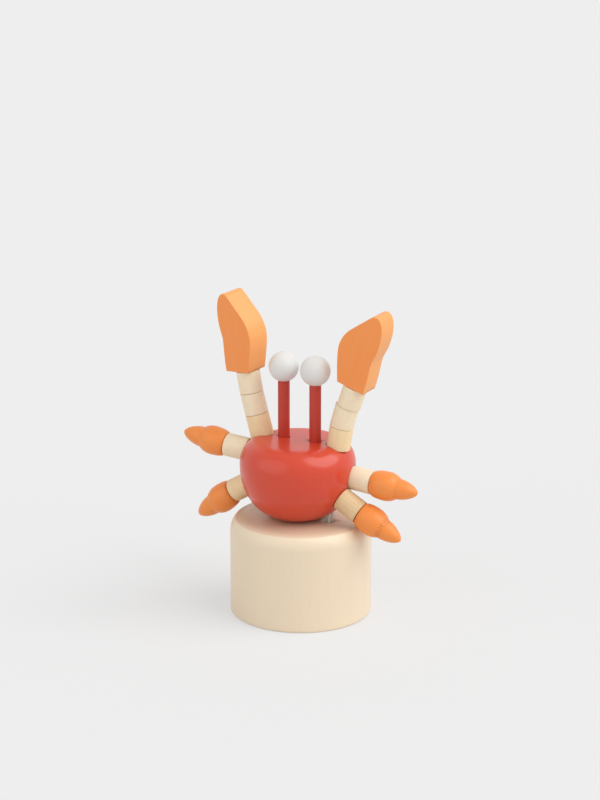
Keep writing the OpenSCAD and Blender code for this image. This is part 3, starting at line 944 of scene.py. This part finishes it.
def make_eye(side, name):
    """A wooden ball, drilled from below, on its glued dowel."""
    mouth = shift(*body_place(side * STALK_GAP / 2, STALK_Y, BODY_H + STALK_L))
    drop = math.sqrt(EYE_R**2 - STALK_R**2)
    hole = STALK_R + STALK_CLEAR
    ease_w, ease_h = EYE_HOLE_EASE
    rim = math.degrees(math.asin((hole + ease_w) / EYE_R)) - 90
    outline = (
        [(0, STALK_GLUE), (hole, STALK_GLUE), (hole, ease_h)]
        + [(x, z + drop) for x, z in arc((0, 0), EYE_R, rim, 90, steps=48)][:-1]
        + [(0, drop + EYE_R)]
    )
    ball = lathe(f"{name}_ball", outline, mouth)
    grain = mouth @ turn(EYE_GRAIN_TILT, "X")
    dress(ball, "crab_body", name, white_enamel, grain, seed=3 + side, smooth=60)
    foot_z = BODY_H - STALK_GLUE + STALK_CLEAR
    foot = shift(*body_place(side * STALK_GAP / 2, STALK_Y, foot_z))
    length = STALK_L + 2 * STALK_GLUE - 2 * STALK_CLEAR
    outline = (
        [(0, 0)]
        + arc((STALK_R - STALK_ROUND, STALK_ROUND), STALK_ROUND, -90, 0, steps=4)
        + [(STALK_R, length * k / 10) for k in range(1, 10)]
        + arc((STALK_R - STALK_ROUND, length - STALK_ROUND), STALK_ROUND, 0, 90, steps=4)
        + [(0, length)]
    )
    dowel = lathe(f"{name}_dowel", outline, foot, steps=48)
    dress(dowel, "crab_body", f"{name}_stalk", red_dip, foot, seed=7 + side, smooth=50)


# Beads, claws and leg tips


def follow_lean(points, length, below, above):
    """Saws a bead's ends a little out of square, each to half the lean of its joint, so that the
    seam stays closed in a limb that leans."""
    for end, (angle, side, *_) in ((0, below), (1, above)):
        slope, at = math.tan(math.radians(angle) / 2), math.radians(side)
        away = BEAD_R - points[:, 0] * math.cos(at) - points[:, 1] * math.sin(at)
        along = points[:, 2] / length
        points[:, 2] += slope * away * (along if end else along - 1)
    return points


def make_bead(name, place, length, joints, material, seed):
    """A short length of dowel, its ends sanded round and its bore eased. It stands nearer to its
    neighbours than the model's, as a cord under tension holds it."""
    low, high = -BEAD_REACH, length + BEAD_REACH
    edge, mouth = BEAD_R - BEAD_ROUND, BEAD_BORE_R + BEAD_BORE_EASE
    outline = (
        arc((edge, low + BEAD_ROUND), BEAD_ROUND, -90, 0, steps=5)
        + [(BEAD_R, length * k / 4) for k in (1, 2, 3)]
        + arc((edge, high - BEAD_ROUND), BEAD_ROUND, 0, 90, steps=5)
        + arc((mouth, high - BEAD_BORE_EASE), BEAD_BORE_EASE, 90, 180, steps=4)
        + arc((mouth, low + BEAD_BORE_EASE), BEAD_BORE_EASE, 180, 270, steps=4)
    )
    made = lathe(f"{name}_turned", outline, steps=72, closed=True)
    points = np.array([v.co for v in made.data.vertices]) / MM
    points = placed(follow_lean(points, length, *joints), place) * MM
    made.data.vertices.foreach_set("co", points.astype(np.float32).ravel())
    made.data.update()
    grain = place @ turn(seed * BEAD_SPIN, "Z")
    dress(made, name, name, material, grain, seed=seed, smooth=50)


def bezier(points):
    """A curve's stretch in millimetres, without its last point."""
    found, steps = [], 14
    for k in range(steps):
        u = k / steps
        v = 1 - u
        weights = (v**3, 3 * v * v * u, 3 * v * u * u, u**3)
        x = sum(w * p[0] for w, p in zip(weights, points))
        y = sum(w * p[1] for w, p in zip(weights, points))
        found.append((x, y * CLAW_H))
    return found


def claw_outline():
    """The sawn outline, leaning by the claw's slant."""
    (x, y), (to_x, to_y) = SHOULDER, TIP_INNER
    straight = [(x + (to_x - x) * u, (y + (to_y - y) * u) * CLAW_H) for u in (0, 0.25, 0.5, 0.75)]
    outline = [p for curve in INNER_CURVES for p in bezier(curve)] + straight
    outline += [p for curve in OUTER_CURVES for p in bezier(curve)] + [(CLAW_ROOT_OUT, 0)]
    return [(x + z * math.tan(math.radians(CLAW_SLANT)), z) for x, z in outline]


def inset(outline, depth):
    """The outline drawn in square to itself, a sharp corner by no more than twice the depth."""
    points = [Vector(p) for p in outline]
    moved = []
    for i, here in enumerate(points):
        before, after = points[i - 1], points[(i + 1) % len(points)]
        a, b = (here - before).normalized(), (after - here).normalized()
        na, nb = Vector((a.y, -a.x)), Vector((b.y, -b.x))
        middle = (na + nb).normalized()
        moved.append(here + middle * depth / max(0.5, middle.dot(na)))
    return moved


def make_claw(limb_name, name, seed):
    """A claw sawn from board, its edges sanded round, with the blind bore for the cord."""
    bore = LIMBS[limb_name]["frames"][3]
    turned, outwards = CLAW_PLACES[limb_name]
    place = bore @ turn(turned, "Z") @ shift(outwards, 0, 0)
    outline = claw_outline()
    area = sum(p[0] * q[1] - q[0] * p[1] for p, q in zip(outline, outline[1:] + outline[:1]))
    inward = -1 if area < 0 else 1
    half, points, layers = CLAW_T / 2, [], []
    turns = [math.radians(90 * k / 5) for k in range(6)]
    profile = [(1 - math.sin(a), -half + CLAW_ROUND * (1 - math.cos(a))) for a in turns]
    profile += [(0, -half + CLAW_T * k / 4) for k in (1, 2, 3)]
    profile += [(1 - math.cos(a), half - CLAW_ROUND * (1 - math.sin(a))) for a in turns]
    for draw_in, y in profile:
        layers.append(range(len(points), len(points) + len(outline)))
        points += [(p.x, y, p.y) for p in inset(outline, -inward * CLAW_ROUND * draw_in)]
    faces = [tuple(layers[0]), tuple(layers[-1])]
    count = len(outline)
    for low, high in zip(layers, layers[1:]):
        for k in range(count):
            n = (k + 1) % count
            faces.append((low[k], low[n], high[n], high[k]))
    made = new_object(f"{name}_board", placed(points, place), faces)
    mouth, bottom = bore @ Vector((0, 0, -THROUGH)), bore @ Vector((0, 0, ANCHOR_DEPTH))
    cut(made, [rod(ANCHOR_BORE_R, mouth, bottom, steps=32)])
    dress(made, name, name, orange_stain_sawn, place, seed=seed, smooth=30)
    inverse = place.inverted()
    # The narrow sawn edges are tinted paler: less stain, and a painted sheen
    mark(made, "sanded_edge_and_sheen", lambda p: (half - abs((inverse @ p).y)) / CLAW_ROUND)


def make_tip(limb_name, name, seed):
    """A turned leg tip: bulb, waist and blunt point, with the blind bore for the cord."""
    place = LIMBS[limb_name]["frames"][1]
    root, bore, ease = TIP_ROOT_R, ANCHOR_BORE_R, TIP_BORE_EASE
    edge_w, edge_h = TIP_EDGE
    outline = [(0, ANCHOR_DEPTH), (bore, ANCHOR_DEPTH)]
    outline += arc((bore + ease, ease), ease, 180, 270, steps=3)
    outline += [(root - edge_w, 0)]
    outline += arc((root, BULB_Z), (TIP_R - root, BULB_Z - edge_h), -90, 0, steps=16)
    for k in range(1, 15):
        u = k / 14
        radius = TIP_R - (TIP_R - TIP_WAIST_R) * u**BULB_FALL
        outline.append((radius, BULB_Z + (WAIST_Z - BULB_Z) * u))
    for k in range(1, 24):
        u = math.sin(math.pi / 2 * k / 24)
        radius = TIP_WAIST_R * (1 - u**POINT_FALL) ** POINT_BLUNT
        outline.append((radius, WAIST_Z + (TIP_L - WAIST_Z) * u))
    outline.append((0, TIP_L))
    made = lathe(f"{name}_turned", outline, place, steps=80)
    dress(made, name, name, orange_stain_turned, place, seed=seed, smooth=50)
    if name in TORN_TIPS:
        inverse = place.inverted()

        def torn(point):
            off = abs((inverse @ point).z - WAIST_Z)
            return GROOVE_FADE - GROOVE_FADE * off / GROOVE_REACH

        mark(made, "torn_groove", torn)


# Cords and knots


def bundle(side, spot):
    """A cord's place in its side's bundle of three, from the hole's middle."""
    return Vector((side * spot[0] * STRAND_R, spot[1] * STRAND_R, 0))


def cord_route(limb_name, spot):
    """A cord's corner points, from its knot under the button to its peg in the last piece."""
    limb = LIMBS[limb_name]
    side, off = limb["side"], bundle(limb["side"], spot)
    route = [Vector((side * CORD_HOLE_X, CORD_HOLE_Y, z)) + off for z in (KNOT_TOP_Z, BASE_H)]
    if limb_name.endswith("arm"):
        route.append(well_point(side, ARM_FLAT_Z - ANCHOR_BEND_Z) + off)
    else:
        corner = leg_corner(limb)
        out = (limb["start"].translation - corner).normalized()
        route += [corner + off, corner + out * (WELL_R + CORD_R)]
    *frames, last = limb["frames"]
    route += [f.translation.copy() for f in frames]
    route.append(last @ Vector((0, 0, CORD_LEAD)))
    route.append(last @ Vector((ANCHOR_X, 0, ANCHOR_BEND_Z)))
    route.append(last @ Vector((ANCHOR_X, 0, ANCHOR_DEPTH - CORD_LEAD)))
    return route


def even_path(route, step=CORD_STEP, window=5):
    """The route at even steps, its corners eased over a few of them."""
    points = [Vector(route[0])]
    for a, b in zip(route, route[1:]):
        count = max(1, round((b - a).length / step))
        points += [a.lerp(b, k / count) for k in range(1, count + 1)]
    eased = []
    for i in range(len(points)):
        reach = min(window, i, len(points) - 1 - i)
        near = points[i - reach : i + reach + 1]
        eased.append(sum(near, Vector()) / len(near))
    return eased


def laid_section(i):
    """One ring of a laid cord: its plies bulge, and turn once round in each pitch."""
    ring = []
    for k in range(CORD_SIDES):
        a = math.tau * k / CORD_SIDES
        swell = abs(math.cos(PLIES / 2 * (a - math.tau * i * CORD_STEP / LAY_PITCH)))
        r = CORD_R * (PLY_VALLEY + PLY_SWELL * swell)
        ring.append((r * math.cos(a), r * math.sin(a)))
    return ring


def make_cord(limb_name, spot):
    """One cord, in sections that each span one joint of the puppet."""
    limb = LIMBS[limb_name]
    side = limb["side"]
    path = even_path(cord_route(limb_name, spot))

    def nearest(point):
        return min(range(len(path)), key=lambda i: (path[i] - point).length)

    off = bundle(side, spot)
    hole = Vector((side * CORD_HOLE_X, CORD_HOLE_Y, 0)) + off
    stops = [0, nearest(hole + UP * (CEILING_Z + BASE_H) / 2)]
    stops.append(nearest(well_point(side, NECK_STOP_Z) + off))
    for here, length in zip(limb["frames"], limb["beads"]):
        stops.append(nearest(here @ Vector((0, 0, length / 2))))
    stops.append(len(path) - 1)
    slices = list(zip(stops, stops[1:]))
    sections = sweep(f"{limb_name}_cord_run", path, laid_section, slices=slices)
    neck = [hole + UP * (BASE_H + z) for z in NECK_BEND]
    spans = [
        ("base", "button", hole + UP * CEILING_Z, hole + UP * BUTTON_TOP_Z),
        ("base", "crab_body", *neck),
    ]
    inner = "crab_body"
    for body, here in zip(limb_pieces(limb_name), limb["frames"]):
        seam = [here @ Vector((0, 0, z)) for z in (-SEAM_BEND, SEAM_BEND)]
        spans.append((inner, body, *seam))
        inner = body
    for section, (first, second, start, end) in zip(sections, spans):
        dress(section, None, f"{limb_name}_cord", cotton_cord, smooth=70)
        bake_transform(section)


def make_knot(side, name):
    """The overhand knot that holds one side's three cords in its pocket under the button."""
    middle = Vector((side * CORD_HOLE_X, CORD_HOLE_Y, KNOT_TOP_Z - KNOT_DROP))
    steps, path = 120, []
    for i in range(steps + 1):
        t = math.tau * i / steps
        r = KNOT_LOOP_R + KNOT_SWING * math.cos(3 * t)
        z = KNOT_RISE * math.sin(3 * t)
        path.append(middle + Vector((r * math.cos(2 * t), r * math.sin(2 * t), z)))
    strand = circle(KNOT_STRAND_R, 14)
    loop = sweep(f"{name}_loops", path, lambda i: strand, up=UP)[0]
    dress(loop, "button", name, cotton_cord, smooth=80)
    near, far = KNOT_END_SPREAD
    for k, spot in enumerate((INNER, FRONT, REAR)):
        off = bundle(side, spot)
        route = [middle + off * near, middle + off * far - UP * KNOT_END_L]
        path = even_path(route, step=0.2, window=1)
        stub = sweep(f"{name}_end_{k + 1}", path, laid_section, up=(1, 0, 0))[0]
        dress(stub, "button", name, cotton_cord, smooth=70)


# Floor, light and camera


def seen_rays(tree):
    """1 for rays that the eye follows to a surface: straight, mirrored or through glass."""
    path = add(tree, "ShaderNodeLightPath")
    first = add(
        tree,
        "ShaderNodeMath",
        {"operation": "MAXIMUM"},
        {0: path.outputs["Is Camera Ray"], 1: path.outputs["Is Glossy Ray"]},
    ).outputs[0]
    return add(
        tree,
        "ShaderNodeMath",
        {"operation": "MAXIMUM"},
        {0: first, 1: path.outputs["Is Transmission Ray"]},
    ).outputs[0]


def make_floor():
    """A wide sheet of matt pale paper, of one colour up to the horizon, that takes the shadow.
    Part of what the eye sees of it is a plain glow, so that it is as pale as the world."""
    made, tree = new_material("pale_paper")
    paper = add(tree, "ShaderNodeBsdfDiffuse", {}, {"Color": linear(FLOOR_TONE), "Roughness": 0.0})
    glow = add(tree, "ShaderNodeEmission", {}, {"Color": linear(PALE), "Strength": 1.0})
    share = add(
        tree,
        "ShaderNodeMath",
        {"operation": "MULTIPLY"},
        {0: seen_rays(tree), 1: FLOOR_GLOW},
    )
    both = add(
        tree,
        "ShaderNodeMixShader",
        {},
        {0: share.outputs[0], 1: paper.outputs[0], 2: glow.outputs[0]},
    )
    add(tree, "ShaderNodeOutputMaterial", {}, {"Surface": both.outputs[0]})
    corners = [(x * FLOOR_HALF, y * FLOOR_HALF, 0) for x, y in ((-1, -1), (1, -1), (1, 1), (-1, 1))]
    floor = new_object("floor", corners, [(0, 1, 2, 3)])
    floor.data.materials.append(made)


def make_world():
    """Even light from all round, which the eye sees as the same pale paper as the floor."""
    world = bpy.data.worlds.new("studio")
    bpy.context.scene.world = world
    world.use_nodes = True
    tree = world.node_tree
    tree.nodes.clear()
    light = add(tree, "ShaderNodeBackground", {}, {"Color": (1, 1, 1, 1), "Strength": WORLD_LEVEL})
    paper = add(tree, "ShaderNodeBackground", {}, {"Color": linear(PALE), "Strength": 1.0})
    both = add(
        tree,
        "ShaderNodeMixShader",
        {},
        {0: seen_rays(tree), 1: light.outputs[0], 2: paper.outputs[0]},
    )
    add(tree, "ShaderNodeOutputWorld", {}, {"Surface": both.outputs[0]})


def make_lamp(name, level, heading, height, width):
    """A wide soft lamp, far away."""
    lamp = bpy.data.lights.new(name, "SUN")
    lamp.energy = level
    lamp.angle = math.radians(width)
    made = bpy.data.objects.new(name, lamp)
    bpy.context.scene.collection.objects.link(made)
    a, e = math.radians(heading), math.radians(height)
    way = Vector((math.cos(a) * math.cos(e), math.sin(a) * math.cos(e), math.sin(e)))
    made.rotation_euler = way.to_track_quat("Z", "Y").to_euler()
    made.location = way


def make_camera():
    """The photograph's viewpoint, to the right of the crab's face and a little above it."""
    a, e = math.radians(CAMERA_HEADING), math.radians(CAMERA_PITCH)
    back = Vector((math.sin(a) * math.cos(e), -math.cos(a) * math.cos(e), math.sin(e)))
    data = bpy.data.cameras.new("camera")
    data.lens, data.sensor_width, data.sensor_fit = LENS, FILM_WIDTH, "AUTO"
    data.clip_start, data.clip_end = 0.01, 100.0
    made = bpy.data.objects.new("camera", data)
    bpy.context.scene.collection.objects.link(made)
    made.location = (CAMERA_TARGET + back * CAMERA_DISTANCE) * MM
    made.rotation_euler = back.to_track_quat("Z", "Y").to_euler()
    bpy.context.scene.camera = made


# The whole puppet and its studio

make_base()
make_button()
make_spring()
make_body()
make_eye(LEFT, "left_eye")
make_eye(RIGHT, "right_eye")
seed = 10
for limb_name, limb in LIMBS.items():
    names = limb_pieces(limb_name)
    pairs = zip(limb["joints"], limb["joints"][1:])
    for name, place, length, joints in zip(names, limb["frames"], limb["beads"], pairs):
        seed += 1
        make_bead(name, place, length, joints, BEAD_WOODS.get(name, maple_dowel), seed)
    seed += 1
    if limb_name in CLAW_PLACES:
        make_claw(limb_name, names[-1], seed)
    else:
        make_tip(limb_name, names[-1], seed)
for limb_name, spot in CORD_SPOTS.items():
    make_cord(limb_name, spot)
make_knot(LEFT, "left_cord_knot")
make_knot(RIGHT, "right_cord_knot")
for node_name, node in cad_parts.items():
    if node_name.endswith("_peg"):
        node.data.materials.clear()
        node.data.materials.append(raw_peg)

make_floor()
make_world()
make_lamp("soft_key", *KEY)
make_lamp("wide_fill", *FILL)
make_camera()
bpy.context.scene.view_settings.view_transform = "Standard"

bpy.context.view_layer.update()
